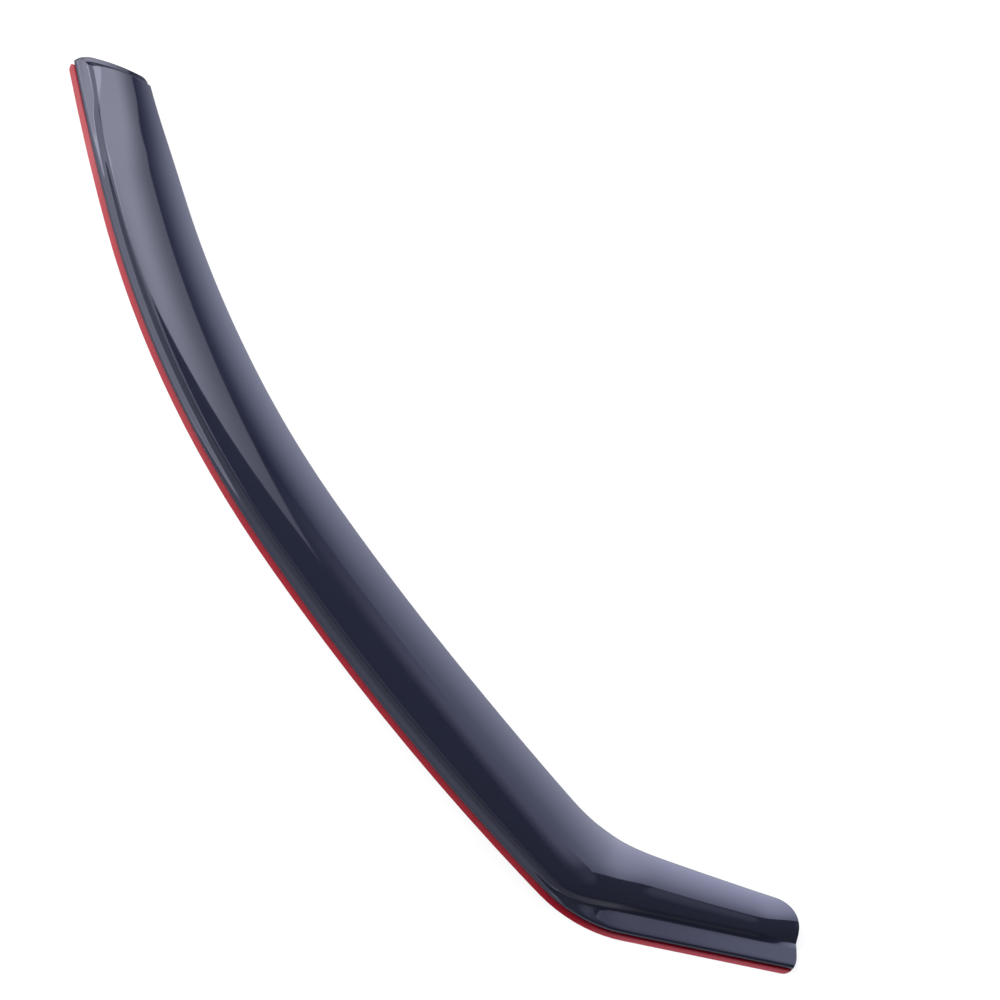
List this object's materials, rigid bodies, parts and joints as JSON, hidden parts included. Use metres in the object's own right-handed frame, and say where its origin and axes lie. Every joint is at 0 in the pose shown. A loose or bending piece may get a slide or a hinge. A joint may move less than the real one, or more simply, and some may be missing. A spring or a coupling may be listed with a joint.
{
  "type": "window rain deflector",
  "caption": "Curved tape-on side window visor: a domed smoked plastic strip with a bonding flange, foam tape and a red release liner, closed at one end.",
  "frame": {"origin": "middle of the part's box, on the surface it lies on with its outside face up", "axes": "+X along the strip towards the closed rear end, +Y towards the outer bonding edge at the roof, +Z out of the window, away from the glass"},
  "size_m": [0.9101, 0.1932, 0.0281],
  "materials": {
    "smoked_plastic": "gloss",
    "black_foam": "matte",
    "red_film": "satin"
  },
  "bodies": {
    "root": {"visor": "smoked_plastic", "edge_tape": "black_foam", "edge_liner": "red_film", "end_tape": "black_foam", "end_liner": "red_film"}
  },
  "joints": []
}
